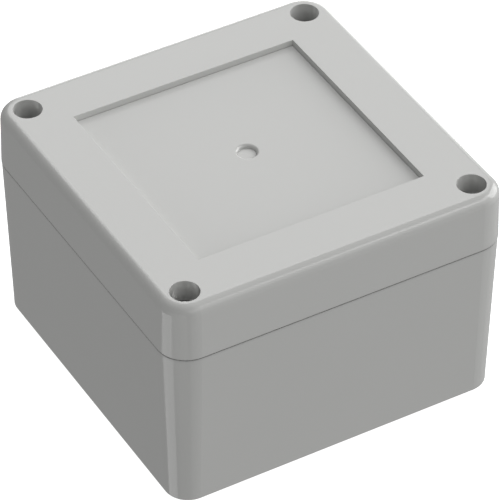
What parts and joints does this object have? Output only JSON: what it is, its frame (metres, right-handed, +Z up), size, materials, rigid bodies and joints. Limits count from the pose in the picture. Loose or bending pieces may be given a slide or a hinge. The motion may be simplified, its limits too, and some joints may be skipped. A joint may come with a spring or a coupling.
{
  "type": "plastic project box",
  "caption": "Square sealed plastic project box: a tapered base and a lid with a sunk panel, held by four screws deep in its corners.",
  "frame": {"origin": "middle of the underside", "axes": "+Z up through the lid; X and Y square to the side walls, with the wall fixing holes further apart along X"},
  "size_m": [0.09, 0.09, 0.06],
  "materials": {
    "moulded_plastic": "light grey, smooth, satin",
    "seal_rubber": "matt black",
    "screw_steel": "bright",
    "insert_brass": "turned"
  },
  "bodies": {
    "box_base": {"base": "moulded_plastic", "threaded_inserts": "insert_brass"},
    "box_lid": {"lid": "moulded_plastic", "gasket": "seal_rubber", "lid_screws": "screw_steel"}
  },
  "joints": [
    {"name": "lid_lift", "type": "slide", "parent": "box_base", "child": "box_lid", "axis": [0, 0, 1], "range_m": [0, 0.05]}
  ]
}
